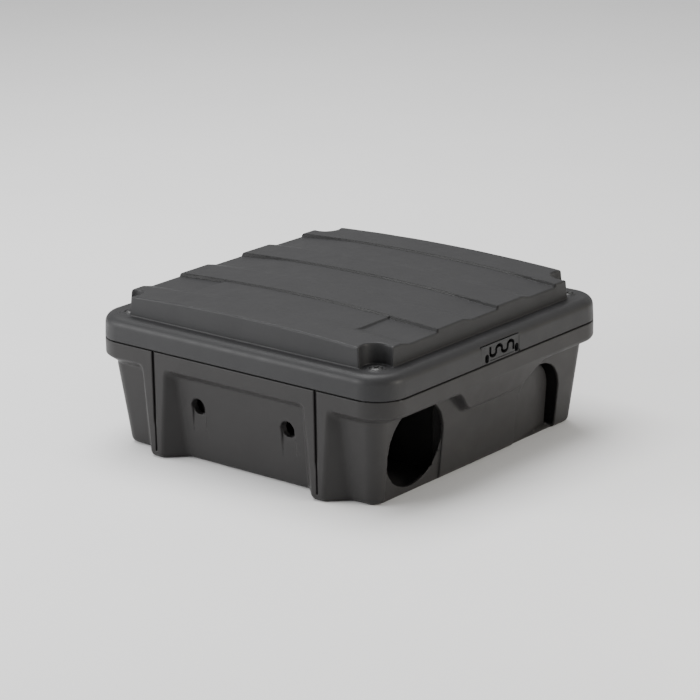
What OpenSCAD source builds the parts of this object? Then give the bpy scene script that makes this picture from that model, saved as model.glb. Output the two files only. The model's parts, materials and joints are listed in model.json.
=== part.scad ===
// Rodent bait station: a lockable plastic box with a hinged lid, two entrance holes
// on a runway along its wall side, and a lift-out tray of bait blocks on two rods.
// Millimetres, +Z up. -Y is the front, with the keyway. -X is the side that goes
// against a wall. The origin is on the floor under the middle of the rim.

/* [Body] */
// Width of the rim, left to right
rim_w = 250; // [246:1:256]
// Depth of the rim, front to back
rim_d = 258; // [254:1:264]
// Corner radius of the rim
rim_r = 23.4; // [20:0.1:26]
// Height of the seam between base and lid
seam_z = 76.7; // [76:0.1:78]
// Height of the flange band under the seam
band_h = 14; // [13:0.5:15]
// Wall thickness of the mouldings
wall = 2.8; // [2.4:0.1:3.2]
// How far the walls step in under the flange band
wall_inset = 6.7; // [6:0.1:8]
// How far the walls lean in from the band down to the floor
wall_lean = 7; // [6:0.5:8]
// How much further out the back wall stands than the front wall
back_out = 1.8; // [0:0.1:2.5]

/* [Lid] */
// Height of the ledge around the raised platform
ledge_z = 93.4; // [93:0.1:94.5]
// Height of the lid at its crown
crown_z = 111; // [110:0.5:113]
// Width of the ledge at the sides
ledge_w = 11.2; // [10:0.1:13]
// How far the crown falls from the middle to the front and back edges
crown_drop = 3.8; // [2:0.1:5]
// Depth of the board steps at the front and back ends
step_end = 2.2; // [1:0.1:3]
// Depth of the board steps in the middle
step_mid = 1.1; // [0.5:0.1:2]

/* [Entrances] */
// Diameter of an entrance hole
entrance_d = 59; // [54:0.5:61]
// Distance of the entrances from the middle, towards the wall side
entrance_x = 75; // [72:1:76]
// Height of an entrance's centre
entrance_z = 34; // [33:0.5:36]
// Height of the flat top of an entrance
entrance_top = 59; // [57:0.5:60]

/* [Wall fixing] */
// Distance between the two fixing holes
fixing_pitch = 79.2; // [70:0.1:90]
// Diameter of a fixing hole
fixing_d = 11.2; // [8:0.1:12]
// Height of the fixing holes
fixing_z = 40.8; // [36:0.1:44]

/* [Pilasters] */
// Distance of each pilaster from the middle of its side
pilaster_y = 71.5; // [66:0.5:76]
// Half width of a pilaster's face at its top
pilaster_top = 10.5; // [8:0.5:12]
// Half width of a pilaster's face at the floor
pilaster_foot = 4.5; // [4:0.5:7]
// Width of the slot down each pilaster
slot_w = 1.5; // [1:0.1:2]

/* [Bait] */
// Width of the lift-out tray
tray_w = 126; // [110:1:130]
// Length of the tray, front to back
tray_l = 184; // [170:1:188]
// Diameter of a bait rod
rod_d = 5; // [4:0.5:6]
// Side of a square bait block
block_w = 26; // [20:1:30]
// Length of a bait block
block_l = 38; // [30:1:40]

/* [Latch] */
// Distance of each key prong from the middle
prong_x = 16.6; // [16:0.1:18]
// Diameter of the latches' pivot pin
pivot_d = 3; // [2.5:0.1:3.2]

/* [Hidden] */

$fn = 48;
gap = 0.2;             // half of the gap at the seam
hw = rim_w / 2;        // half width of the rim
hd = rim_d / 2;        // half depth of the rim
charcoal = "#3a3a38";
black = "#262626";
steel = "#a9adb0";

// Base
band_z = seam_z - band_h;                   // underside of the flange band
band_taper = 3.3;                           // bevel under the band
base_top = seam_z - gap;
tub_w0 = hw - wall_inset - wall_lean;       // half width of the walls at the floor
tub_d0 = hd - wall_inset - 5.6 - wall_lean; // half depth of the walls at the floor
tub_r0 = 9;                                 // corner radius of the walls at the floor
tub_r1 = 11;                                // and under the band
foot_fillet = 4;
cav_r = rim_r - 3;                          // corner radius inside the band

// Hinge
hinge_y = hd + 0.4;
hinge_z = seam_z;
hinge_x = 72;                               // middle of each hinge
hinge_len = 50;
hinge_pin_d = 4;
knuckle_r = 4.5;
knuckle_gap = 0.4;
fit = 0.05;                                 // radial clearance of a running fit

// Lid
lid_z0 = seam_z + gap;
plat_w = hw - ledge_w;                      // half width of the platform
plat_d = hd - ledge_w - 3;                  // half depth of the platform
crown_r = pow(plat_d, 2) / (2 * crown_drop);
side_drop = 0.6;                            // fall of the crown to the left and right edges
board_w = 33.3;                             // pitch of the boards
end_len = 46;                               // length of a board's stepped ends
corner_x = hw - 18.8;                       // corner screws
corner_y = hd - 21.2;
notch_r = 10.4;

// Tray and bait
floor_z = wall;
tray_x = 33;                                // middle of the tray
tray_y = 7;
tray_z = floor_z + 0.3;
tray_h = 26;
tray_wall = 2;
rod_x = 31;                                 // distance of each rod from the tray's middle
rod_z = 27;
post_y = tray_l / 2 - 11;                   // posts that carry the rods
baffle_x = -38;
baffle_t = 2.4;

// Keyway plate
key_w = 42;
key_z0 = 77;
key_z1 = 89.6;
key_t = 2.4;
key_sink = 0.7;                             // how far the plate sits in from the rim
key_x = 2;                                  // middle of the wave and the prong holes

// Latch
pivot_y = -(hd - 11.6);
pivot_z = 86.2;
latch_w = 11.4;
hook_z = 70.4;                              // top of the hook, under the keeper
keeper_z = 70.9;                            // underside of the keeper
spring_z = 80.5;
lever_front = pivot_y - 2;
lever_back = pivot_y + 1.8;
house_front = -hd + key_sink + key_t + 0.4;
house_back = pivot_y + 9.6;
house_w = 58;
house_z0 = 78.4;
house_top = 90.4;
pocket_w = 12;
house_screw_x = 25.2;

// Outline of a rounded rectangle, anticlockwise
function rounded(hx, hy, r, n = 8) = [
    for (q = [0:3], i = [0:n])
        let (a = 90 * q + 90 * i / n, sx = (q == 0 || q == 3) ? 1 : -1, sy = q < 2 ? 1 : -1)
        [sx * (hx - r) + r * cos(a), sy * (hy - r) + r * sin(a)]
];

// Smooth step from 0 to 1
function ease(t) = let (u = min(1, max(0, t))) u * u * (3 - 2 * u);

// Half width of the walls at height z, distance of the front wall, and half depth of the walls
function tub_w(z) = tub_w0 + wall_lean * z / band_z;
function tub_d(z) = tub_d0 + wall_lean * z / band_z;
function tub_y(z) = tub_d(z) + back_out / 2;

// Solid through rings of points, each ring anticlockwise as seen from the last one
module rings(list) {
    n = len(list[0]);
    m = len(list);
    polyhedron(
        points = [for (ring = list, p = ring) p],
        faces = concat(
            [[for (i = [0:n - 1]) i]],
            [for (j = [0:m - 2], i = [0:n - 1]) [j * n + i, (j + 1) * n + i, (j + 1) * n + (i + 1) % n]],
            [for (j = [0:m - 2], i = [0:n - 1]) [j * n + i, (j + 1) * n + (i + 1) % n, j * n + (i + 1) % n]],
            [[for (i = [n - 1:-1:0]) (m - 1) * n + i]]
        ),
        convexity = 4
    );
}

// Stack of rounded rectangles, each [z, half width, half depth, radius]
module stack(levels) {
    rings([for (l = levels) [for (p = rounded(l[1], l[2], l[3])) [p[0], p[1], l[0]]]]);
}

module both_x() {
    children();
    mirror([1, 0, 0]) children();
}

module both_y() {
    children();
    mirror([0, 1, 0]) children();
}

// Extrudes an outline drawn in X and Z from y0 to y1
module along_y(y0, y1) {
    translate([0, y1, 0]) rotate([90, 0, 0]) linear_extrude(y1 - y0) children();
}

// Cylinder along X
module rod_x(x0, x1, r) {
    translate([x0, 0, 0]) rotate([0, 90, 0]) cylinder(h = x1 - x0, r = r);
}

// Cylinder along Y
module rod_y(y0, y1, r) {
    translate([0, y1, 0]) rotate([90, 0, 0]) cylinder(h = y1 - y0, r = r);
}

// ---- base ----

module tub_outer() {
    translate([0, back_out / 2, 0]) stack([
        [0, tub_w(0) - foot_fillet, tub_y(0) - foot_fillet, tub_r0 - foot_fillet],
        [0.3 * foot_fillet, tub_w(0) - 0.25 * foot_fillet, tub_y(0) - 0.25 * foot_fillet, tub_r0 - 1],
        [foot_fillet, tub_w(foot_fillet), tub_y(foot_fillet), tub_r0],
        [band_z + 1, tub_w(band_z + 1), tub_y(band_z + 1), tub_r1]
    ]);
}

module band_outer() {
    stack([
        [band_z, hw - band_taper, hd - band_taper, rim_r - band_taper],
        [band_z + band_taper, hw, hd, rim_r],
        [base_top, hw, hd, rim_r]
    ]);
}

module base_cavity() {
    translate([0, back_out / 2, 0]) stack([
        [floor_z, tub_w(floor_z) - wall, tub_y(floor_z) - wall, tub_r0 - wall],
        [band_z + 4, tub_w(band_z) - wall, tub_y(band_z) - wall, tub_r1 - wall]
    ]);
    stack([
        [band_z + wall, hw - 3, hd - 3, cav_r],
        [seam_z + 1, hw - 3, hd - 3, cav_r]
    ]);
}

// Tapered rib on the +X wall. It widens where it meets the leaning wall.
module pilaster(shrink = 0) {
    root = [16, 19];
    z0 = shrink;
    z1 = band_z + band_taper + 0.5 - shrink;
    face = [pilaster_foot - shrink / 2, pilaster_top - shrink];
    for (side = [-1, 1]) translate([0, side * pilaster_y, 0]) rings([
        for (e = [[z0, face[0], root[1] - shrink, hw - 0.3], [z1, face[1], root[0] - shrink, hw]])
            let (z = e[0], out = e[3] - shrink, in = tub_w(min(z, band_z)) - 1 - 2 * shrink)
            [[in, -e[2], z], [out, -e[1], z], [out, e[1], z], [in, e[2], z]]
    ]);
}

// Slot down the face of each pilaster, up to the seam
module pilaster_slots() {
    depth = 1.6;
    for (side = [-1, 1]) translate([0, side * pilaster_y, 0]) rings([
        for (z = [5, seam_z + 1])
            [[hw - depth, -slot_w / 2, z], [hw + 2, -slot_w / 2, z],
             [hw + 2, slot_w / 2, z], [hw - depth, slot_w / 2, z]]
    ]);
}

// Band that drops lower over the middle of the front, with an S-shaped left end.
// Its face slants in from the band's lower edge down to its own.
module apron(shrink = 0) {
    low = 47 + shrink;
    x0 = -46 + 2 * shrink;
    x1 = -22 + 2 * shrink;
    steps = 10;
    front = -hd + shrink;
    back = -tub_d(40) + 3 + shrink;
    intersection() {
        along_y(-hd, back) polygon(concat(
            [for (i = [0:steps]) [x0 + (x1 - x0) * i / steps, band_z - (band_z - low) * ease(i / steps)]],
            [[48, low], [48, band_z + 1], [x0, band_z + 1]]
        ));
        translate([-60, 0, 0]) rotate([90, 0, 90]) linear_extrude(120) polygon([
            [front + 4.6, low - 5], [front + 4.6, low], [front, band_z + band_taper],
            [back, band_z + band_taper], [back, low - 5]
        ]);
    }
}

// Outline of an entrance's recess: an arch that runs down to the floor
module entrance_outline(r, down) {
    intersection() {
        union() {
            translate([-entrance_x, entrance_z]) circle(r = r);
            if (down) translate([-entrance_x - r, 0]) square([2 * r, entrance_z]);
        }
        translate([-entrance_x - r, 0]) square([2 * r, entrance_top + r - entrance_d / 2]);
    }
}

recess_y = tub_d0 + 0.6;   // upright floor of the entrance recesses
recess_r = entrance_d / 2 + 0.2;

module entrance_backs() {
    both_y() along_y(-tub_d(band_z), -recess_y + wall) entrance_outline(recess_r + wall, true);
}

module entrance_cuts() {
    both_y() {
        along_y(-hd, -recess_y) entrance_outline(recess_r, true);
        along_y(-recess_y - 1, -recess_y + 2 * wall) entrance_outline(entrance_d / 2, false);
    }
}

// Arched recess at the right of the front, down to the floor. At its right its upright
// back opens into a deeper hollow that runs on behind the wall's thin edge.
scoop_x = 64.3;
scoop_z = 30;
scoop_r = 24.2;
scoop_y = tub_d0 - 2.5;   // upright back of the recess
hollow_r = 93;
hollow_y = 90;

module scoop_arch(r) {
    translate([scoop_x, scoop_z]) circle(r = r);
    translate([scoop_x - r, -1]) square([2 * r, scoop_z + 1]);
}

// Outline of the hollow: what the recess's back leaves open at its right
module hollow_outline(grow) {
    difference() {
        translate([scoop_x + 6 - grow, 5 - grow])
            square([hollow_r - scoop_x - 6 + 2 * grow, 45 + 2 * grow]);
        scoop_arch(scoop_r - 4.5 - grow);
    }
}

// Walls behind the recess and round the hollow
module scoop_backs() {
    grow = wall - 0.6;
    along_y(-hd, -scoop_y + grow) scoop_arch(scoop_r + grow);
    along_y(-hd, -hollow_y + grow) hollow_outline(grow);
}

module scoop_cuts() {
    edge = 1.6;
    along_y(-hd, -scoop_y) scoop_arch(scoop_r);
    intersection() {
        along_y(-hd, -hollow_y) hollow_outline(0);
        stack([
            [0, tub_w(0), tub_d(0) - edge, tub_r0],
            [band_z, tub_w(band_z), tub_d(band_z) - edge, tub_r1]
        ]);
    }
}

fixing_y = fixing_pitch / 2;
fixing_face = tub_w(24);   // upright floor of the fixing pockets

// Bosses behind the two fixing holes, on the wall side
module fixing_bosses() {
    for (side = [-1, 1]) translate([0, side * fixing_y, fixing_z])
        rod_x(-tub_w(band_z), -fixing_face + 4.2, fixing_d / 2 + 3.4);
}

module fixing_cuts() {
    pocket_r = fixing_d / 2 + 0.8;
    for (side = [-1, 1]) translate([0, side * fixing_y, 0]) {
        translate([0, 0, fixing_z]) rod_x(-hw, -fixing_face, pocket_r);
        translate([-hw, -pocket_r, 0]) cube([hw - fixing_face, 2 * pocket_r, fixing_z]);
        translate([0, 0, fixing_z]) rod_x(-hw, -fixing_face + 10, fixing_d / 2);
    }
}

// Hinge barrels: two outer ones on the base, one between them on the lid
function base_knuckles() = [
    [-hinge_len / 2, -hinge_len / 4 - knuckle_gap], [hinge_len / 4 + knuckle_gap, hinge_len / 2]
];
function lid_knuckles() = [[-hinge_len / 4, hinge_len / 4]];

module at_hinges() {
    for (side = [-1, 1]) translate([side * hinge_x, hinge_y, hinge_z]) children();
}

module knuckles(spans, web_z) {
    at_hinges() for (s = spans) {
        rod_x(s[0], s[1], knuckle_r);
        translate([s[0], -4, web_z]) cube([s[1] - s[0], 4, knuckle_r]);
    }
}

module knuckle_room(spans) {
    at_hinges() for (s = spans) rod_x(s[0] - knuckle_gap, s[1] + knuckle_gap, knuckle_r + knuckle_gap);
}

module keeper() {
    for (side = [-1, 1]) translate([side * prong_x - 7, -hd + 2, keeper_z]) cube([14, 5.8, 3.2]);
}

// Channels that hold the runway baffle's ends
module baffle_channels() {
    for (x = [baffle_x - 2.6, baffle_x + baffle_t + 0.4]) both_y()
        translate([x, -tub_d(0) - 6, 1]) cube([2.2, 14, 61]);
}

module base_shell() {
    color(charcoal) difference() {
        union() {
            difference() {
                union() {
                    tub_outer();
                    band_outer();
                    both_x() pilaster();
                    apron();
                }
                base_cavity();
                both_x() pilaster(wall);
                apron(wall);
            }
            intersection() {
                tub_outer();
                union() {
                    entrance_backs();
                    scoop_backs();
                    fixing_bosses();
                    baffle_channels();
                }
            }
            keeper();
            knuckles(base_knuckles(), -knuckle_r);
        }
        entrance_cuts();
        scoop_cuts();
        fixing_cuts();
        both_x() pilaster_slots();
        knuckle_room(lid_knuckles());
        at_hinges() rod_x(-hinge_len / 2 - 1.5, hinge_len / 2 + 1.5, hinge_pin_d / 2);
    }
}

// ---- base inserts ----

passage_w = 66;
passage_z = 52;

module runway_baffle() {
    end = tub_d0 - wall - 0.6;
    color(charcoal) difference() {
        translate([baffle_x, -end, floor_z]) cube([baffle_t, 2 * end, 66 - floor_z]);
        translate([baffle_x - 1, 0, passage_z - passage_w / 2]) rod_x(0, baffle_t + 2, passage_w / 2);
        translate([baffle_x - 1, -passage_w / 2, floor_z + 3])
            cube([baffle_t + 2, passage_w, passage_z - passage_w / 2 - floor_z - 3]);
    }
}

module hinge_pin(side) {
    color(steel) translate([side * hinge_x, hinge_y, hinge_z])
        rod_x(-hinge_len / 2 - 1, hinge_len / 2 + 1, hinge_pin_d / 2);
}

// ---- tray and bait ----

module bait_tray() {
    slot = rod_d + 0.4;
    color(black) translate([tray_x, tray_y, tray_z]) difference() {
        union() {
            difference() {
                stack([[0, tray_w / 2 - 3, tray_l / 2 - 3, 8], [tray_h, tray_w / 2, tray_l / 2, 10]]);
                stack([[tray_wall, tray_w / 2 - 3 - tray_wall, tray_l / 2 - 3 - tray_wall, 6],
                       [tray_h + 1, tray_w / 2 - tray_wall, tray_l / 2 - tray_wall, 8]]);
            }
            both_y() both_x() translate([rod_x - 8, -post_y - 2, 1]) cube([16, 4, rod_z + 7 - tray_z]);
        }
        both_y() both_x() {
            translate([rod_x, 0, rod_z - tray_z]) rod_y(-post_y - 4, -post_y + 4, slot / 2);
            translate([rod_x - slot / 2 + 0.5, -post_y - 4, rod_z - tray_z]) cube([slot - 1, 8, 20]);
        }
    }
}

// Rod through four blocks, with an upright thumb stem and a ball at the front
module bait_rod(side) {
    r = rod_d / 2;
    front = -post_y - 5;
    color(steel) translate([tray_x + side * rod_x, tray_y, rod_z]) {
        rod_y(front, post_y + 4, r);
        translate([0, front, 0]) sphere(r = r);
        translate([0, front, 0]) cylinder(h = 16, r = r);
        translate([0, front, 16]) sphere(r = r + 1);
    }
}

module bait_blocks(side) {
    pitch = block_l + 1;
    color("#2f7f6f") for (i = [-1.5:1:1.5])
        translate([tray_x + side * rod_x, tray_y + i * pitch, rod_z])
        along_y(-block_l / 2, block_l / 2) difference() {
            square(block_w, center = true);
            circle(r = rod_d / 2 + fit);
            for (a = [0:90:270]) rotate(a) translate([block_w / 2, 0]) circle(r = 2.5);
        }
}

// ---- lid ----

// Height of the crowned top
function crown(x, y) = crown_z - y * y / (2 * crown_r) - side_drop * pow(x / plat_w, 2);

board_edges = [-2.5 * board_w, -0.5 * board_w, 1.5 * board_w];   // where a board begins to fall
ramp = 9;
riser = 0.5;

// Cross-section stations: each [x, share of the step]
stations = concat(
    [[-plat_w - 1, 0]],
    [for (e = board_edges, s = [[-ramp / 2, 0], [ramp / 2, 1], [board_w - riser, 1], [board_w, 0]])
        [e + s[0], s[1]]],
    [[plat_w + 1, 0]]
);

function step_at(y) = abs(y) > plat_d - end_len ? step_end : step_mid;

module platform() {
    ends = [-plat_d - 1, -plat_d + end_len, -plat_d + end_len + 0.5];
    middle = [-40, -20, 0, 20, 40];
    ys = concat(ends, middle, [for (i = [2:-1:0]) -ends[i]]);
    rings([for (y = ys) concat(
        [[plat_w + 1, y, ledge_z - 6], [-plat_w - 1, y, ledge_z - 6]],
        [for (s = stations) [s[0], y, crown(s[0], y) - s[1] * step_at(y)]]
    )]);
}

module lid_outer() {
    stack([
        [lid_z0, hw, hd, rim_r],
        [88.2, hw - 0.5, hd - 0.5, rim_r - 0.5],
        [90.4, hw - 1.4, hd - 1.4, rim_r - 1.4],
        [92, hw - 3, hd - 3, rim_r - 3],
        [93, hw - 5.4, hd - 5.4, rim_r - 5],
        [ledge_z, hw - 8, hd - 8, rim_r - 7]
    ]);
    difference() {
        intersection() {
            platform();
            stack([[ledge_z - 1, plat_w, plat_d, 1.5], [crown_z + 1, plat_w - 0.8, plat_d - 0.8, 1.5]]);
        }
        both_y() both_x() translate([corner_x, corner_y, ledge_z - 2]) cylinder(h = 30, r = notch_r);
    }
}

module lid_cavity() {
    in = wall;
    stack([
        [lid_z0 - 1, hw - in, hd - in, rim_r - in],
        [87.6, hw - in - 0.4, hd - in - 0.4, rim_r - in - 0.4],
        [ledge_z - in, hw - in - 3.4, hd - in - 3.4, rim_r - in - 3.4]
    ]);
    difference() {
        intersection() {
            rings([for (y = [-plat_d:plat_d / 4:plat_d]) [
                [plat_w, y, 85], [-plat_w, y, 85],
                [-plat_w, y, crown(plat_w, y) - in - step_end], [plat_w, y, crown(plat_w, y) - in - step_end]
            ]]);
            stack([[84, plat_w - in, plat_d - in, 2], [crown_z, plat_w - in - 0.8, plat_d - in - 0.8, 2]]);
        }
        both_y() both_x() translate([corner_x, corner_y, 80]) cylinder(h = 40, r = notch_r + in);
    }
}

seat_r = 6.2;

module lid_shell() {
    color(charcoal) difference() {
        union() {
            difference() {
                lid_outer();
                lid_cavity();
            }
            both_y() both_x() translate([corner_x, corner_y, ledge_z - wall]) cylinder(h = wall + 0.7, r = seat_r);
            knuckles(lid_knuckles(), 0.4);
        }
        both_y() both_x() translate([corner_x, corner_y, 0]) {
            translate([0, 0, ledge_z - 1]) cylinder(h = 5, r = 4.5);
            cylinder(h = 120, r = 2.2);
        }
        keyway_hole(0.1);
        for (side = [-1, 1]) translate([side * house_screw_x, pivot_y + 4, house_top]) cylinder(h = 1.6, r = 1.3);
        knuckle_room(base_knuckles());
        at_hinges() rod_x(-hinge_len / 2 - 1.5, hinge_len / 2 + 1.5, hinge_pin_d / 2 + fit);
    }
}

module keyway_hole(grow = 0) {
    translate([-key_w / 2 - grow, -hd - 1, key_z0 - 3])
        cube([key_w + 2 * grow, 5, key_z1 - key_z0 + 3 + grow]);
}

// Wavy slot: upright strokes joined by half rings, up and down in turn. The first
// stroke runs on to the top and the last one to the bottom.
module wave_slot() {
    stroke = 2.2;
    pitch = 6.5;
    reach = 0.7;
    outer = [(pitch + stroke) / 2, 3.3];
    translate([key_x, 84]) for (i = [-2:2]) {
        top = i == -2 ? 4 : reach;
        foot = i == 2 ? -4 : -reach;
        translate([i * pitch - stroke / 2, foot]) square([stroke, top - foot]);
        if (i < 2) translate([(i + 0.5) * pitch, i % 2 == 0 ? -reach : reach])
            rotate(i % 2 == 0 ? 180 : 0) intersection() {
                difference() {
                    scale([1, outer[1] / outer[0]]) circle(r = outer[0]);
                    translate([0, -0.1]) scale([1, (outer[1] - stroke) / (outer[0] - stroke)])
                        circle(r = outer[0] - stroke);
                }
                translate([-pitch, 0]) square([2 * pitch, pitch]);
            }
    }
}

module prong_hole() {
    hole_w = 4.2;
    hole_h = 6;
    for (side = [-1, 1]) translate([key_x + side * prong_x, 80.5]) {
        for (s = [-1, 1]) translate([0, s * (hole_h - hole_w) / 2]) circle(r = hole_w / 2);
        square([hole_w, hole_h - hole_w], center = true);
    }
}

// Plate in the lid's front, open to the seam, with a fine groove along its foot
module keyway_plate() {
    face = -hd + key_sink;
    color(black) difference() {
        along_y(face, face + key_t) translate([-key_w / 2, key_z0]) square([key_w, key_z1 - key_z0 - 0.1]);
        along_y(face - 1, face + 4) {
            wave_slot();
            prong_hole();
        }
        along_y(face - 1, face + 0.5) translate([key_x - 13, 78.1]) square([26, 0.5]);
    }
}

// Ring inside the lid that hangs down into the base and takes the corner screws
module lid_frame() {
    off = 3.5;
    top = ledge_z - wall - 0.3;
    color(charcoal) difference() {
        union() {
            difference() {
                stack([[68, hw - off, hd - off, rim_r - off], [86, hw - off, hd - off, rim_r - off]]);
                stack([[67, hw - off - 2, hd - off - 2, rim_r - off - 2],
                       [87, hw - off - 2, hd - off - 2, rim_r - off - 2]]);
            }
            both_y() both_x() {
                translate([corner_x, corner_y, 78]) cylinder(h = top - 78, r = 5);
                translate([corner_x, corner_y, 80]) rotate(44) translate([0, -1, 0]) cube([13.5, 2, 6]);
            }
        }
        both_y() both_x() translate([corner_x, corner_y, 77]) cylinder(h = 30, r = 1.8);
        translate([-house_w / 2 - 3, -hd, 60]) cube([house_w + 6, 20, 40]);
        at_hinges() translate([-hinge_len / 2 - 0.5, -5, -10]) cube([hinge_len + 1, 5, 16]);
    }
}

module cross_slot(z, size) {
    translate([-size / 2, -0.5, z - 1]) cube([size, 1, 2]);
    translate([-0.5, -size / 2, z - 1]) cube([1, size, 2]);
}

module lid_corner_screws() {
    color(steel) both_y() both_x() translate([corner_x, corner_y, 0]) difference() {
        union() {
            translate([0, 0, 80]) cylinder(h = ledge_z - 80, r = 2);
            translate([0, 0, ledge_z - 1]) cylinder(h = 1.4, r = 4.2);
            translate([0, 0, ledge_z + 0.4]) cylinder(h = 0.7, r1 = 4.2, r2 = 2.8);
        }
        cross_slot(ledge_z + 1.1, 5);
    }
}

// ---- latch ----

module latch_housing() {
    shoulder = 3.5;
    color(black) difference() {
        translate([-house_w / 2, 0, 0]) rotate([90, 0, 90]) linear_extrude(house_w) polygon([
            [house_front, house_z0], [house_back + 2, house_z0], [house_back + 2, house_top],
            [house_front + shoulder, house_top], [house_front, house_top - shoulder]
        ]);
        for (side = [-1, 1]) translate([side * prong_x - pocket_w / 2, -hd, house_z0 - 1])
            cube([pocket_w, house_back + hd, 89.2 - house_z0 + 1]);
        translate([-8.6, -hd, house_z0 + 1.4]) cube([17.2, 13, 9]);
        translate([0, pivot_y, pivot_z]) rod_x(-house_w, house_w, pivot_d / 2);
        for (side = [-1, 1]) translate([side * house_screw_x, pivot_y + 4, 0]) {
            cylinder(h = 100, r = 1.7);
            translate([0, 0, house_z0 - 1]) cylinder(h = 3, r = 2.8);
        }
    }
}

module latch_housing_screws() {
    color(steel) for (side = [-1, 1]) translate([side * house_screw_x, pivot_y + 4, 0]) {
        translate([0, 0, house_z0 + 0.2]) cylinder(h = 1.8, r = 2.6);
        translate([0, 0, house_z0 + 1]) cylinder(h = house_top + 1.4 - house_z0 - 1, r = 1.3);
    }
}

// Lever that hangs from the pivot, with a hook that catches under the keeper
module latch(side) {
    foot = 66.8;
    color(black) translate([side * prong_x, 0, 0]) difference() {
        union() {
            translate([0, pivot_y, pivot_z]) rod_x(-latch_w / 2, latch_w / 2, 2.6);
            along_latch() polygon([
                [lever_front, pivot_z], [lever_front, hook_z], [lever_front - 4.2, hook_z],
                [lever_front - 4.2, hook_z - 1.2], [lever_front - 1, foot], [lever_back, foot],
                [lever_back, pivot_z]
            ]);
        }
        translate([0, pivot_y, pivot_z]) rod_x(-latch_w, latch_w, pivot_d / 2 + fit);
    }
}

module along_latch() {
    translate([-latch_w / 2, 0, 0]) rotate([90, 0, 90]) linear_extrude(latch_w) children();
}

module latch_pivot_pin() {
    color(steel) translate([0, pivot_y, pivot_z]) rod_x(-house_w / 2, house_w / 2, pivot_d / 2);
}

// Coil spring between a latch's back and the housing
module latch_spring(side) {
    coil_r = 2.2;
    wire_r = 0.35;
    turns = 4;
    per_turn = 14;
    sides = 6;
    y0 = lever_back + wire_r + 0.05;
    length = house_back - lever_back - 2 * wire_r - 0.1;
    count = turns * per_turn;
    color(steel) translate([side * prong_x, 0, spring_z]) rings([
        for (i = [0:count]) let (a = 360 * i / per_turn, y = y0 + length * i / count)
            [for (k = [0:sides - 1]) let (b = -360 * k / sides)
                [(coil_r + wire_r * cos(b)) * cos(a), y + wire_r * sin(b), (coil_r + wire_r * cos(b)) * sin(a)]]
    ]);
}

base_shell();
runway_baffle();
hinge_pin(-1);  // hinge_pin_left
hinge_pin(1);  // hinge_pin_right
bait_tray();
bait_rod(-1);  // bait_rod_left
bait_rod(1);  // bait_rod_right
bait_blocks(-1);  // bait_blocks_left
bait_blocks(1);  // bait_blocks_right
lid_shell();
lid_frame();
lid_corner_screws();
keyway_plate();
latch_housing();
latch_housing_screws();
latch(-1);  // latch_left
latch(1);  // latch_right
latch_pivot_pin();
latch_spring(-1);  // latch_spring_left
latch_spring(1);  // latch_spring_right
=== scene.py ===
import json

import bpy
import numpy as np
from mathutils import Matrix, Vector


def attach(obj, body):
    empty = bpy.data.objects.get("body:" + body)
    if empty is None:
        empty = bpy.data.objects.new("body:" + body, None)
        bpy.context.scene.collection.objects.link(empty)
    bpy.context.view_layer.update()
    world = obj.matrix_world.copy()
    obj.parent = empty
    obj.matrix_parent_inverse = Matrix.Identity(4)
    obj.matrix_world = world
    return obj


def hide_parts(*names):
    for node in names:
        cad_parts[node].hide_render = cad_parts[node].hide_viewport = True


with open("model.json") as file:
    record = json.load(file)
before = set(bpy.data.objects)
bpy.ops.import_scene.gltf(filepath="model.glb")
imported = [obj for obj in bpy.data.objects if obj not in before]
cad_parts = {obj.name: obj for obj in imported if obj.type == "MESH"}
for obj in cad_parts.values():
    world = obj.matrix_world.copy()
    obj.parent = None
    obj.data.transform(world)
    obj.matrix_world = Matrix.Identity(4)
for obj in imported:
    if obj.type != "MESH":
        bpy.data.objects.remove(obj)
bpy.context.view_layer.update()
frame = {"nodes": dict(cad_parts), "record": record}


# ---- materials ----

def srgb(r, g, b):
    """Linear colour of an sRGB one given from 0 to 255."""
    def lin(c):
        c /= 255
        return c / 12.92 if c <= 0.04045 else ((c + 0.055) / 1.055) ** 2.4
    return (lin(r), lin(g), lin(b), 1.0)


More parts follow.
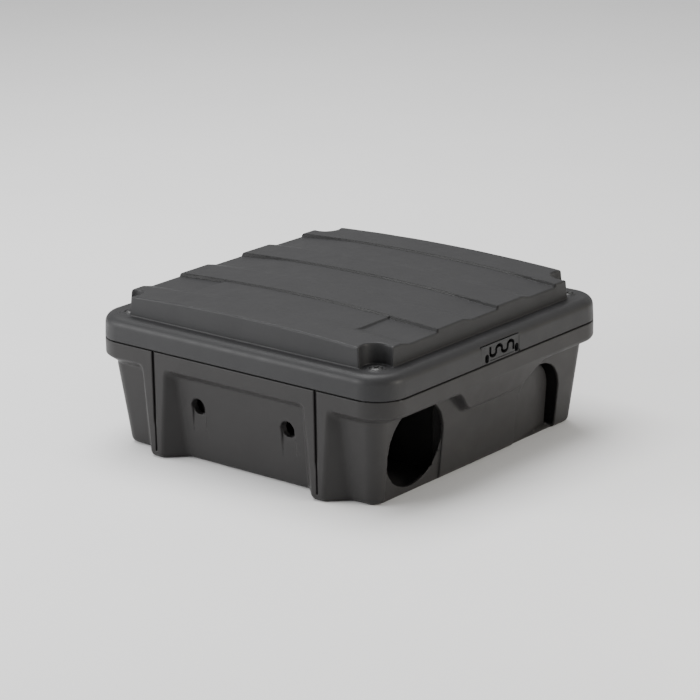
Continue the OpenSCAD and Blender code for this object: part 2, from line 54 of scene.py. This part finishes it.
class Nodes:
    """A new material's node tree, with short calls to add to it."""

    def __init__(self, name):
        self.mat = bpy.data.materials.new(name)
        self.mat.use_nodes = True
        self.tree = self.mat.node_tree
        self.shader = self.tree.nodes["Principled BSDF"]
        self.place = self.add("ShaderNodeTexCoord").outputs["Object"]

    def add(self, kind, **values):
        """A new node; each value sets its property of that name, or else its input."""
        node = self.tree.nodes.new(kind)
        for key, value in values.items():
            if hasattr(node, key):
                setattr(node, key, value)
            else:
                node.inputs[key.replace("_", " ")].default_value = value
        return node

    def link(self, out, into):
        self.tree.links.new(out, into)

    def noise(self, scale, detail=4.0, rough=0.55, stretch=None):
        """Noise over the object's own space, drawn out along an axis by a small stretch."""
        node = self.add("ShaderNodeTexNoise", Scale=scale, Detail=detail, Roughness=rough)
        place = self.place
        if stretch:
            mapping = self.add("ShaderNodeMapping")
            mapping.inputs["Scale"].default_value = stretch
            self.link(place, mapping.inputs["Vector"])
            place = mapping.outputs["Vector"]
        self.link(place, node.inputs["Vector"])
        return node.outputs["Fac"]

    def ramp(self, value, low, high, out_low, out_high):
        node = self.add("ShaderNodeMapRange")
        for key, number in (("From Min", low), ("From Max", high), ("To Min", out_low), ("To Max", out_high)):
            node.inputs[key].default_value = number
        self.link(value, node.inputs["Value"])
        return node.outputs["Result"]

    def maths(self, operation, *values):
        """A math node on numbers or other nodes' outputs."""
        node = self.add("ShaderNodeMath", operation=operation)
        for value, socket in zip(values, node.inputs):
            if hasattr(value, "is_linked"):
                self.link(value, socket)
            else:
                socket.default_value = value
        return node.outputs[0]

    def away_from_line(self, x, height):
        """From 0 on the plane X = x, above a height, to 1 away from it: the mask of a painted shade line."""
        place = self.add("ShaderNodeSeparateXYZ")
        self.link(self.place, place.inputs[0])
        off = self.maths("ABSOLUTE", self.maths("SUBTRACT", place.outputs[0], x))
        below = self.maths("LESS_THAN", place.outputs[2], height)
        return self.maths("MAXIMUM", self.ramp(off, 0.0009, 0.0016, 0.0, 1.0), below)

    def mix(self, share, a, b):
        node = self.add("ShaderNodeMix", data_type="RGBA")
        self.link(share, node.inputs[0])
        for value, socket in ((a, node.inputs[6]), (b, node.inputs[7])):
            if isinstance(value, tuple):
                socket.default_value = value
            else:
                self.link(value, socket)
        return node.outputs[2]

    def bump(self, height, strength, distance):
        node = self.add("ShaderNodeBump", Strength=strength, Distance=distance)
        self.link(height, node.inputs["Height"])
        return node.outputs["Normal"]

    def set(self, **values):
        """Sets or links the shader's own inputs."""
        for key, value in values.items():
            socket = self.shader.inputs[key.replace("_", " ")]
            if hasattr(value, "is_linked"):
                self.link(value, socket)
            else:
                socket.default_value = value


LINE_FLOOR = 0.1045      # metres: the lid's painted shade lines are drawn only over this height
DUST = 1.9               # how much lighter dust is than the plastic


def shaded(colour, share):
    """A colour made darker or lighter, up to white."""
    return tuple(min(1, c * share) for c in colour[:3]) + (1.0,)


def plastic(name, colour, light, rough=(0.40, 0.50), grain=0.00012, lines=()):
    """Moulded plastic: spark-eroded grain, flow marks, dust, painted shade in creases and painted shade lines
    along Y.
    """
    n = Nodes(name)
    clouds = n.noise(38.0, 5.0)
    specks = n.noise(1900.0, 2.0)
    shade = n.mix(n.ramp(clouds, 0.35, 0.65, 0.0, 1.0), colour, light)
    dusty = n.mix(n.ramp(specks, 0.60, 0.80, 0.0, 0.35), shade, shaded(light, DUST))
    grains = n.noise(1700.0, 3.0, 0.6)
    # painted shade: the AO node darkens the colour in creases and concave corners towards a shade colour at
    # 0.35 of the plastic's
    creases = n.add("ShaderNodeAmbientOcclusion", Distance=0.004, samples=6, only_local=True).outputs["AO"]
    deep = shaded(colour, 0.35)
    dust_and_painted_shade = n.mix(n.ramp(creases, 0.35, 0.85, 0.0, 1.0), deep, dusty)
    # painted shade: dark lines along Y over the board risers, where the risers' shadow falls
    for x in lines:
        dust_and_painted_shade = n.mix(n.away_from_line(x, LINE_FLOOR), deep, dust_and_painted_shade)
    n.set(
        Base_Color=dust_and_painted_shade,
        Roughness=n.ramp(n.noise(90.0, 4.0), 0.3, 0.7, *rough),
        Specular_IOR_Level=0.20,
        Normal=n.bump(grains, 0.55, grain),
    )
    return n.mat


def metal(name, colour, rough=(0.22, 0.38), along=(1.0, 1.0, 1.0)):
    """Bare or plated steel with drawing lines and a few dull spots."""
    n = Nodes(name)
    lines = n.noise(700.0, 3.0, 0.6, along)
    spots = n.noise(260.0, 4.0)
    n.set(
        Base_Color=n.mix(n.ramp(spots, 0.45, 0.7, 0.0, 1.0), colour, shaded(colour, 0.6)),
        Metallic=1.0,
        Roughness=n.ramp(spots, 0.35, 0.7, *rough),
        Normal=n.bump(lines, 0.3, 0.00004),
    )
    return n.mat


def wax(name, colour, light):
    """Pressed bait block: wax with grain husks in it, dull and a little soft in the light."""
    n = Nodes(name)
    husks = n.noise(420.0, 3.0, 0.7)
    grains = n.noise(1100.0, 4.0, 0.6)
    n.set(
        Base_Color=n.mix(n.ramp(husks, 0.45, 0.62, 0.0, 1.0), colour, light),
        Roughness=n.ramp(grains, 0.3, 0.7, 0.45, 0.7),
        Subsurface_Weight=0.08,
        Subsurface_Scale=0.002,
        Normal=n.bump(grains, 0.7, 0.0004),
    )
    return n.mat


BOARD_LINES = (-0.0495, 0.0165, 0.0835)      # X of the risers between the lid's boards, in metres, where painted shade lines go
FINISH = {
    "base_plastic": plastic("base_plastic", srgb(45, 44, 44), srgb(47, 46, 46)),
    "lid_plastic": plastic("lid_plastic", srgb(45, 45, 46), srgb(47, 47, 48), lines=BOARD_LINES),
    "inner_plastic": plastic("inner_plastic", srgb(34, 34, 34), srgb(38, 38, 38), (0.35, 0.45)),
    "tray_plastic": plastic("tray_plastic", srgb(26, 26, 26), srgb(30, 30, 30), (0.30, 0.42)),
    "latch_plastic": plastic("latch_plastic", srgb(24, 24, 24), srgb(28, 28, 28), (0.22, 0.34), 0.00002),
    "rod_steel": metal("rod_steel", (0.62, 0.62, 0.60, 1.0), along=(1.0, 0.04, 1.0)),
    "screw_steel": metal("screw_steel", (0.09, 0.09, 0.09, 1.0), (0.42, 0.60)),
    "spring_steel": metal("spring_steel", (0.50, 0.50, 0.50, 1.0)),
    "bait_wax": wax("bait_wax", srgb(60, 138, 122), srgb(120, 176, 150)),
}
SLOT_OF = {part["node"]: part["material_slot"] for part in frame["record"]["subparts"]}


def paint(piece, slot):
    piece.data.materials.clear()
    piece.data.materials.append(FINISH[slot])


for name, node in frame["nodes"].items():
    paint(node, SLOT_OF[name])


# ---- the two mouldings as smooth implicit solids, in millimetres ----
# Each function takes arrays of points and gives a distance, negative inside.


def lerp(a, b, t):
    return a + (b - a) * t


def ramp01(v, v0, v1):
    """From 0 at v0 to 1 at v1, with soft ends."""
    t = np.clip((v - v0) / (v1 - v0), 0.0, 1.0)
    return t * t * (3 - 2 * t)


def soft_min(a, b, k):
    """The smaller one, blended where the two are less than k apart."""
    h = np.maximum(k - np.abs(a - b), 0.0)
    return np.minimum(a, b) - h * h / (4 * k)


def soft_max(a, b, k):
    return -soft_min(-a, -b, k)


def round_and(a, b, r):
    """Both solids, with an outer edge of radius r where they meet."""
    return np.minimum(-r, np.maximum(a, b)) + np.sqrt(np.maximum(a + r, 0) ** 2 + np.maximum(b + r, 0) ** 2)


def round_or(a, b, r):
    """Either solid, with a fillet of radius r where they meet."""
    return -round_and(-a, -b, r)


def box2(x, y, hx, hy, r):
    """Rounded rectangle about the origin."""
    qx, qy = np.abs(x) - hx + r, np.abs(y) - hy + r
    return np.sqrt(np.maximum(qx, 0) ** 2 + np.maximum(qy, 0) ** 2) + np.minimum(np.maximum(qx, qy), 0) - r


def box3(x, y, z, lo, hi, r=0.4):
    """Rounded box between two corners."""
    (x0, y0, z0), (x1, y1, z1) = lo, hi
    q = [np.abs(v - (a + b) / 2) - (b - a) / 2 + r for v, a, b in ((x, x0, x1), (y, y0, y1), (z, z0, z1))]
    out = np.sqrt(sum(np.maximum(v, 0) ** 2 for v in q))
    return out + np.minimum(np.maximum(q[0], np.maximum(q[1], q[2])), 0) - r


HW, HD, RIM_R = 125.0, 129.0, 23.4              # rim's half width, half depth and corner radius
SEAM, GAP = 76.7, 0.2                           # height of the seam, half its gap
BAND, BAND_FULL = 62.7, 66.5                    # heights where the flange band starts and is full
WALL = 2.8
FOOT_W, FOOT_D, LEAN = 111.3, 109.7, 7          # the walls' half sizes at the floor, and how far they lean
BACK_OUT = 1.8                                  # how much further out the back wall stands
PILASTER_Y = 71.5                               # middle of each pilaster
ENTRANCE_X, ENTRANCE_Z, ENTRANCE_R = -73.4, 34.0, 29.3
ENTRANCE_TOP, ROOM_R = 59.1, 32.6               # an entrance's flat top, radius of the dark room behind it
SCOOP_X, SCOOP_Z, SCOOP_R = 64.3, 30.0, 24.2    # arched recess at the right of the front
SCOOP_Y, SCOOP_SINK = 107.2, 4.6                # its back at the floor, and how far that sinks to the right
FIXING_Y, FIXING_Z, FIXING_R = 39.6, 40.8, 5.65
BAFFLE_RIBS, RIB = (-40.6, -35.2), 2.2          # ribs that hold the baffle, and their thickness
KEEPER_X = 16.6                                 # middle of each latch's keeper
HINGE_Y, HINGE_Z, HINGE_X = 129.4, 76.7, 72.0   # the hinge's axis, and the middle of each hinge
KNUCKLE, PIN_BORE, PLAY = 4.5, 2.05, 0.4        # radii of the barrels and their bore, room round a barrel
WEB = 9.0                                       # half width of the web that carries a barrel
CORNER_X, CORNER_Y = 106.2, 107.8               # the lid's corner screws
LEDGE, CROWN = 93.4, 111.0                      # heights of the lid's ledge and of its crown
TOP_W, TOP_D, TOP_H = 113.8, 114.8, 17.6        # half sizes and height of the lid's raised top
NOTCH_FRONT, NOTCH_BACK = 10.4, 8.4             # radii of its corner notches


def tub_w(z):
    return FOOT_W + LEAN * z / BAND


def tub_d(z):
    return FOOT_D + LEAN * z / BAND


def pilaster_rise(across, z, face, wall):
    """How far a pilaster's flank stands off the wall, by the distance across from its middle."""
    half_face = lerp(4.5, 10.5, z / BAND_FULL)
    half_root = lerp(18.0, 15.0, z / BAND_FULL)
    slope = (face - wall) / (half_root - half_face)
    return slope * (half_root - np.abs(across))


def pilaster_face(z):
    return np.minimum(HW - 0.4 + 0.4 * z / BAND_FULL, HW)


def side_reach(y, z):
    """X reach of a side wall: leaning wall, flange band and two pilasters, run together in soft fillets."""
    wall = tub_w(z)
    face = pilaster_face(z)
    band = 1.2 * (z - BAND + 2.9)
    rise = soft_max(band, pilaster_rise(np.abs(y) - PILASTER_Y, z, face, wall), 6.0)
    reach = soft_max(wall, wall + rise, 1.8)
    return soft_min(reach, face + (HW - face) * ramp01(z, 60, 67), 1.6)


def arch(across, z, middle, r):
    """Outline of an arch with upright sides, by the distance across from its middle."""
    return np.where(z < middle, across, np.sqrt(across ** 2 + (z - middle) ** 2)) - r


def entrance_outline(x, z, upright):
    """Outline of an entrance's round hole, or of the upright recess round it, both with a flat top."""
    across = np.abs(x - ENTRANCE_X)
    if upright:
        around = arch(across, z, ENTRANCE_Z, ENTRANCE_R)
    else:
        around = np.sqrt(across ** 2 + (z - ENTRANCE_Z) ** 2) - ENTRANCE_R
    return soft_max(around, z - ENTRANCE_TOP, 2.0)


def band_reach(x, z, wall):
    """Y reach of a leaning wall and of the flange band over it, which drops a little towards the corners."""
    corner = 2.1 * ramp01(np.abs(x), 96, 116)
    return soft_min(soft_max(wall, wall + 2.1 * (z - BAND + 0.8 + corner), 1.6), HD, 1.8)


def front_reach(x, z):
    """Y reach of the front wall: leaning wall, flange band, and the apron that drops lower."""
    wall = tub_d(z)
    reach = band_reach(x, z, wall)
    low = lerp(60.0, 45.0, ramp01(x, -46, -23)) + 15.0 * ramp01(x, 26, 54)
    face = 122.2 + 6.8 * np.clip((z - 47.0) / 19.0, 0, 1)
    apron = soft_min(wall + 3.2 * (z - low), face, 3.0)
    return np.minimum(soft_max(reach, soft_max(wall, apron, 6.5), 2.0), HD)


def back_reach(x, z):
    return band_reach(x, z, tub_d(z) + BACK_OUT)


def plan(x, y, z):
    """Distance in plan to the base's outside, before its floor and top are cut."""
    reach_x = side_reach(y, z)
    reach_y = np.where(y < 0, front_reach(x, z), back_reach(x, z))
    r = lerp(9.0 + 2 * z / BAND, RIM_R, ramp01(z, BAND - 5, BAND + 2.5))   # corner radius at this height
    qx, qy = np.abs(x) - reach_x + r, np.abs(y) - reach_y + r
    return np.sqrt(np.maximum(qx, 0) ** 2 + np.maximum(qy, 0) ** 2) + np.minimum(np.maximum(qx, qy), 0) - r


def outer_recesses(x, y, z):
    """The recesses round the entrances, the arched one with the hollow behind it, and the fixing pockets."""
    entrance = np.maximum(entrance_outline(x, z, True), tub_d(z) - 1.1 - np.abs(y))
    across = np.abs(x - SCOOP_X)
    sink = SCOOP_SINK * np.clip((x - 41.0) / 47.0, 0, 1) ** 1.4 * (z > 2.0)
    scoop = np.maximum(arch(across, z, SCOOP_Z, SCOOP_R), SCOOP_Y + 0.08 * z - sink + y)
    outline = soft_max(box2(x - 83.0, z - 27.0, 13.0, 24.0, 6.0), -arch(across, z, SCOOP_Z, 22.4), 1.0)
    hollow = np.maximum(outline, np.maximum(1.6 - tub_d(z) - y, y + 90.0))
    pocket = np.maximum(arch(np.abs(np.abs(y) - FIXING_Y), z, FIXING_Z, FIXING_R), x + 114.0)
    return np.minimum(entrance, np.minimum(soft_min(scoop, hollow, 1.2), pocket))


def corrected(f, x, y, z, h=0.25):
    """f over the length of its slope, so that steep blends still give a distance."""
    v = f(x, y, z)
    g = sum((f(x + a * h, y + b * h, z + c * h) - v) ** 2 for a, b, c in ((1, 0, 0), (0, 1, 0), (0, 0, 1)))
    return v / np.maximum(np.sqrt(g) / h, 0.7)


def hinge_parts(x, y, z, spans, r):
    """Distances across and along drums on the hinge's axis; spans are from each hinge's middle outwards."""
    across = np.sqrt((y - HINGE_Y) ** 2 + (z - HINGE_Z) ** 2) - r
    along = np.full_like(x, 1e3)
    for x0, x1 in spans:
        along = np.minimum(along, np.abs(np.abs(x) - HINGE_X - (x0 + x1) / 2) - (x1 - x0) / 2)
        along = np.minimum(along, np.abs(np.abs(x) - HINGE_X + (x0 + x1) / 2) - (x1 - x0) / 2)
    return across, along


BASE_SPANS = ((12.9, 25.0),)      # the base's barrels, outside the lid's
LID_SPANS = ((-12.5, 12.5),)
PIN_SPANS = ((-27.0, 27.0),)


def hinge_pin_bore(x, y, z):
    across, along = hinge_parts(x, y, z, PIN_SPANS, PIN_BORE)
    return np.maximum(across, along)


def with_hinge(shell, x, y, z, own, other, web_z):
    """The shell with its own barrels, clear of the other moulding's, and bored for the pins."""
    drum, along = hinge_parts(x, y, z, own, KNUCKLE)
    web = box3(np.zeros_like(x), y, z, (-WEB, HINGE_Y - 4.0, web_z[0]), (WEB, HINGE_Y, web_z[1]), 0.2)
    shell = np.minimum(shell, round_and(np.minimum(drum, web), along, 0.4))
    room, along = hinge_parts(x, y, z, other, KNUCKLE + PLAY)
    shell = np.maximum(shell, -np.maximum(room, along - PLAY))
    return np.maximum(shell, -hinge_pin_bore(x, y, z))


def base_solid(x, y, z):
    body = round_and(corrected(plan, x, y, z), -z, 4.0)
    body = soft_max(body, -outer_recesses(x, y, z), 0.7)
    shell = np.maximum(body, -(body + WALL))
    # bosses round the fixing holes, channels for the baffle, keepers for the latches
    across = np.sqrt((np.abs(y) - FIXING_Y) ** 2 + (z - FIXING_Z) ** 2)
    boss = round_and(across - 9.0, np.maximum(x + 109.8, -x - 117.0), 0.6)
    shell = np.minimum(shell, np.maximum(boss, body + 0.3))
    for x0 in BAFFLE_RIBS:
        rib = box3(x, np.abs(y), z, (x0, FOOT_D - 8.0, 1.0), (x0 + RIB, FOOT_D + 4.0, 62.0))
        shell = np.minimum(shell, np.maximum(rib, body))
    keeper = box3(np.abs(x) - KEEPER_X, y, z, (-7.0, -127.5, 70.9), (7.0, -121.2, 74.1))
    shell = np.minimum(shell, keeper)
    shell = round_and(shell, z - (SEAM - GAP), 0.3)
    # slots down the pilasters
    slot = np.maximum(np.abs(np.abs(y) - PILASTER_Y) - 0.75, np.maximum(HW - 1.7 - np.abs(x), 5.0 - z))
    shell = np.maximum(shell, -slot)
    shell = with_hinge(shell, x, y, z, BASE_SPANS, LID_SPANS, (HINGE_Z - KNUCKLE, HINGE_Z))
    # holes
    hole = np.maximum(entrance_outline(x, z, False), np.abs(np.abs(y) - 110.0) - 12.0)
    shell = soft_max(shell, -hole, 0.4)
    # the wall round an entrance is thin, with the dark room close behind it
    room = np.maximum(arch(np.abs(x - ENTRANCE_X), z, ENTRANCE_Z, ROOM_R), 8.0 - z)
    room = np.maximum(room, np.maximum(np.abs(y) - tub_d(z) + 2.1, 104.0 - np.abs(y)))
    shell = np.maximum(shell, -room)
    fixing = np.maximum(across - FIXING_R, np.abs(x + 110.0) - 6.0)
    return soft_max(shell, -fixing, 0.4)


# ---- lid ----

BOARD = 33.3                                              # width of a board of the lid's top
EDGES = (-2.5 * BOARD, -0.5 * BOARD, 1.5 * BOARD)         # where a board starts to fall away


def crown(x, y):
    """Height of the top without its boards."""
    return CROWN - 3.8 * (y / TOP_D) ** 2 - 0.6 * (x / TOP_W) ** 2


def from_corner(x, y):
    """Distance in plan from the nearest corner screw."""
    return np.sqrt((np.abs(x) - CORNER_X) ** 2 + (np.abs(y) - CORNER_Y) ** 2)


def board_step(x, y):
    """How far the top lies under its crown: boards that fall away on one side and end in a sharp riser."""
    pocket = ramp01(np.abs(y + 1.0), 72.0, 73.6)
    gentle = ramp01(np.abs(y), 58.0, 112.0)
    drop = np.zeros_like(x)
    for i, e in enumerate(EDGES):
        slope = np.clip((x - e + 4.5) / 9.0, 0, 1)
        foot = np.floor(e + BOARD) + 0.5
        rise = np.clip((foot - x) / 1.2 + 0.5, 0, 1)
        depth = lerp(0.9, 2.2, pocket if i == 0 else gentle)
        drop = drop + np.minimum(slope, rise) * (x < foot + 2) * depth
    return drop


def platform_plan(x, y, z):
    """Distance in plan to the raised top, with its notched corners."""
    lean = 0.8 * (z - LEDGE) / TOP_H
    side = box2(x, y, TOP_W - lean, TOP_D - lean, 2.0)
    return soft_max(side, np.where(y > 0, NOTCH_BACK, NOTCH_FRONT) + lean - from_corner(x, y), 1.8)


def lid_outside(x, y, z):
    off = 0.5 * np.clip((z - SEAM) / 11.5, 0, 2)
    rim = round_and(box2(x, y, HW - off, HD - off, RIM_R - off), z - LEDGE, 6.2)
    top = (z - crown(x, y) + board_step(x, y)) * 0.95
    return round_or(rim, round_and(platform_plan(x, y, z), top, 1.1), 0.8)


def lid_inside(x, y, z):
    w = WALL
    rim = round_and(box2(x, y, HW - w - 0.3, HD - w - 0.3, RIM_R - w), z - LEDGE + w, 3.6)
    top = z - crown(x, y) + w + 2.2
    deep = box2(x, y, TOP_W - w - 0.4, TOP_D - w - 0.4, 2.0)
    deep = soft_max(deep, NOTCH_FRONT + w - from_corner(x, y), 2.0)
    return round_or(rim, round_and(deep, top, 1.0), 0.8)


def lid_solid(x, y, z):
    shell = np.maximum(lid_outside(x, y, z), -lid_inside(x, y, z))
    # seats of the corner screws, with their counterbores and holes
    seat = from_corner(x, y)
    shell = soft_min(shell, round_and(seat - 6.2, np.abs(z - 92.35) - 1.75, 0.6), 0.8)
    shell = np.maximum(shell, -np.maximum(seat - 4.5, np.abs(z - 95.0) - 2.6))
    shell = np.maximum(shell, -(seat - 2.2))
    shell = round_and(shell, SEAM + GAP - z, 0.3)
    # opening for the keyway plate
    key = box3(x, y, z, (-21.1, -131.0, 70.0), (21.1, -125.0, 89.7), 0.3)
    shell = np.maximum(shell, -key)
    return with_hinge(shell, x, y, z, LID_SPANS, BASE_SPANS, (HINGE_Z + PLAY, HINGE_Z + KNUCKLE + PLAY))


# ---- surfaces ----

CORNERS = [(i, j, k) for i in (0, 1) for j in (0, 1) for k in (0, 1)]    # of a grid cell
CHUNK = 400000      # points worked out at a time
FAR = 9.0           # stands for any distance off the surface


def blocks_near(rough, reach):
    """Coarse blocks with a corner within reach of the surface, or with corners on both its sides."""
    close = np.abs(rough) < reach
    blocks = np.zeros([k - 1 for k in rough.shape], bool)
    sign = rough[:-1, :-1, :-1] > 0
    for corner in CORNERS:
        part = tuple(slice(c, k - 1 + c) for c, k in zip(corner, rough.shape))
        blocks |= close[part]
        blocks |= (rough[part] > 0) != sign
    return blocks


def sampled(f, lo, hi, cell, coarse):
    """f on a grid: exact in the blocks near the surface, and only its sign elsewhere."""
    n = [int(np.ceil((b - a) / cell / coarse)) * coarse + 1 for a, b in zip(lo, hi)]
    axes = [a + cell * np.arange(k) for a, k in zip(lo, n)]
    wide = [ax[::coarse] for ax in axes]
    rough = f(*[g.ravel() for g in np.meshgrid(*wide, indexing="ij")]).reshape([len(w) for w in wide])
    field = np.where(rough > 0, FAR, -FAR).astype(np.float32)
    for axis in range(3):
        field = np.repeat(field, coarse, axis=axis)
    field = field[:n[0], :n[1], :n[2]]
    mask = np.zeros(n, bool)
    bi, bj, bk = (b * coarse for b in np.nonzero(blocks_near(rough, cell * coarse * 1.6)))
    steps = np.arange(coarse + 1)
    for di in steps:
        for dj in steps:
            mask[(bi + di)[:, None], (bj + dj)[:, None], bk[:, None] + steps[None, :]] = True
    ii, jj, kk = np.nonzero(mask)
    for start in range(0, len(ii), CHUNK):
        i, j, k = (index[start:start + CHUNK] for index in (ii, jj, kk))
        field[i, j, k] = f(axes[0][i], axes[1][j], axes[2][k])
    return field


def crossing_means(field, base):
    """For each cell, by its first corner, the mean of the points where the surface cuts its edges."""
    total = np.zeros((len(base), 3))
    hits = np.zeros(len(base))
    for a in CORNERS:
        for axis in range(3):
            if a[axis]:
                continue
            b = list(a)
            b[axis] = 1
            va = field[tuple(base[:, q] + a[q] for q in range(3))]
            vb = field[tuple(base[:, q] + b[q] for q in range(3))]
            cross = (va < 0) != (vb < 0)
            t = np.where(cross, va / np.where(cross, va - vb, 1), 0)
            point = np.array(a, float)[None, :] + t[:, None] * (np.array(b) - np.array(a))[None, :]
            total += point * cross[:, None]
            hits += cross
    return base + total / hits[:, None]


def quads_across(solid, index, axis):
    """One quad round each grid edge along the axis that the surface cuts, facing outwards."""
    n = solid.shape
    u, v = [q for q in range(3) if q != axis]
    if axis == 1:
        u, v = v, u
    a = [slice(1, n[q] - 1) for q in range(3)]
    b = list(a)
    a[axis] = slice(0, n[axis] - 1)
    b[axis] = slice(1, n[axis])
    here, there = solid[tuple(a)], solid[tuple(b)]
    start = np.stack(np.nonzero(here != there), 1)
    flip = here[tuple(start.T)]
    start[:, u] += 1
    start[:, v] += 1
    ring = []
    for du, dv in ((-1, -1), (0, -1), (0, 0), (-1, 0)):
        c = start.copy()
        c[:, u] += du
        c[:, v] += dv
        ring.append(index[tuple(c.T)])
    ring = np.stack(ring, 1)
    return np.where(flip[:, None], ring, ring[:, ::-1])


def surface(f, lo, hi, cell, coarse=4):
    """Vertices and quads of the surface f = 0, by surface nets on a grid."""
    field = sampled(f, lo, hi, cell, coarse)
    solid = field < 0
    inner = [tuple(slice(c, k - 1 + c) for c, k in zip(corner, solid.shape)) for corner in CORNERS]
    count = sum(solid[part].astype(np.int8) for part in inner)
    cells = np.nonzero((count > 0) & (count < len(CORNERS)))
    index = np.full(count.shape, -1, np.int64)
    index[cells] = np.arange(len(cells[0]))
    points = crossing_means(field, np.stack(cells, 1)) * cell + np.array(lo)[None, :]
    return points, np.concatenate([quads_across(solid, index, axis) for axis in range(3)])


def gradient(f, p, h=0.08):
    """Slope of f at the points, by central differences."""
    g = np.empty_like(p)
    for axis in range(3):
        d = np.zeros(3)
        d[axis] = h
        a, b = p + d, p - d
        g[:, axis] = f(*a.T) - f(*b.T)
    return g / (2 * h)


def draw_on(f, p, cell, rounds=3):
    """Moves points onto the surface f = 0."""
    for _ in range(rounds):
        g = gradient(f, p)
        v = f(*p.T)
        step = -(v / np.maximum((g ** 2).sum(1), 0.25))[:, None] * g
        size = np.sqrt((step ** 2).sum(1))
        step *= np.minimum(1.0, 0.6 * cell / np.maximum(size, 1e-9))[:, None]
        p = p + step
    return p


# ---- shells as pieces ----

CELL = 1.0


def moulding(name, f, lo, hi, body, node, keep):
    """A moulding in place of its CAD node: thinned where it is flat, and shaded by the solid's own slope."""
    points, quads = surface(f, lo, hi, CELL)
    points = draw_on(f, points, CELL)
    mesh = bpy.data.meshes.new(name)
    mesh.from_pydata((points / 1000).tolist(), [], quads.tolist())
    mesh.validate()
    obj = bpy.data.objects.new(name, mesh)
    bpy.context.scene.collection.objects.link(obj)
    thin = obj.modifiers.new("thin", "DECIMATE")
    thin.ratio = keep
    bpy.context.view_layer.objects.active = obj
    bpy.ops.object.modifier_apply(modifier=thin.name)
    flat = np.empty(len(mesh.vertices) * 3)
    mesh.vertices.foreach_get("co", flat)
    points = draw_on(f, flat.reshape(-1, 3) * 1000, CELL, 2)
    mesh.vertices.foreach_set("co", (points / 1000).ravel())
    slope = gradient(f, points)
    slope /= np.maximum(np.linalg.norm(slope, axis=1), 1e-6)[:, None]
    mesh.shade_smooth()
    mesh.normals_split_custom_set_from_vertices(slope.tolist())
    mesh.update()
    paint(obj, SLOT_OF[node])
    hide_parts(node)
    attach(obj, body)


# a grid starts on whole millimetres, so that the lid's sharp risers fall between its points
moulding("base_moulding", base_solid, (-127, -131, -2), (127, 136, 83), "base", "base_shell", 0.4)
moulding("lid_moulding", lid_solid, (-127, -131, 70), (127, 136, 113), "lid", "lid_shell", 1.0)


# ---- stage ----

WHITE = (1.0, 1.0, 1.0)


def area(name, size, place, aim, power, colour=WHITE):
    """A soft rectangular lamp that looks at a point."""
    lamp = bpy.data.lights.new(name, "AREA")
    lamp.shape = "RECTANGLE"
    lamp.size, lamp.size_y = size
    lamp.energy = power
    lamp.color = colour
    obj = bpy.data.objects.new(name, lamp)
    bpy.context.scene.collection.objects.link(obj)
    obj.location = place
    obj.rotation_euler = (Vector(aim) - Vector(place)).to_track_quat("-Z", "Y").to_euler()


def make_floor():
    """A pale paper floor, far wider than the object."""
    half = 6.0
    mesh = bpy.data.meshes.new("floor")
    corners = [(-half, -half, 0), (half, -half, 0), (half, half, 0), (-half, half, 0)]
    mesh.from_pydata(corners, [], [(0, 1, 2, 3)])
    obj = bpy.data.objects.new("floor", mesh)
    bpy.context.scene.collection.objects.link(obj)
    n = Nodes("floor_paper")
    n.set(
        Base_Color=n.mix(n.noise(6.0, 2.0), (0.86, 0.86, 0.86, 1.0), (0.90, 0.90, 0.90, 1.0)),
        Roughness=0.8,
        Specular_IOR_Level=0.2,
    )
    mesh.materials.append(n.mat)


def make_world():
    world = bpy.data.worlds.new("studio")
    world.use_nodes = True
    light = world.node_tree.nodes["Background"].inputs
    light["Color"].default_value = WHITE + (1.0,)
    light["Strength"].default_value = 0.42
    bpy.context.scene.world = world


def make_camera():
    """A long lens at the left front corner, turned by its own right, up and back directions."""
    camera = bpy.data.objects.new("camera", bpy.data.cameras.new("camera"))
    camera.data.sensor_width = 36
    camera.data.lens = 142.45
    camera.data.clip_start, camera.data.clip_end = 0.05, 50
    right, up, back = (0.631, -0.775, -0.015), (0.241, 0.178, 0.954), (-0.737, -0.606, 0.299)
    camera.rotation_mode = "QUATERNION"
    camera.rotation_quaternion = Matrix((right, up, back)).transposed().to_quaternion().normalized()
    camera.location = (-1.4222, -1.1682, 0.6362)
    bpy.context.scene.collection.objects.link(camera)
    bpy.context.scene.camera = camera


make_floor()
make_world()
area("key", (1.0, 0.6), (-1.15, 0.90, 0.50), (-0.1, 0, 0.05), 20)
area("top", (1.6, 1.2), (0.1, 0.5, 1.7), (0, 0, 0.05), 42)
area("front", (0.3, 0.2), (0.12, -0.90, 0.26), (-0.04, -0.12, 0.05), 4.2, (1.0, 0.96, 0.88))
area("warm", (0.5, 0.3), (1.1, -0.9, 0.25), (0.12, -0.1, 0.05), 0.3, (1.0, 0.75, 0.10))
make_camera()
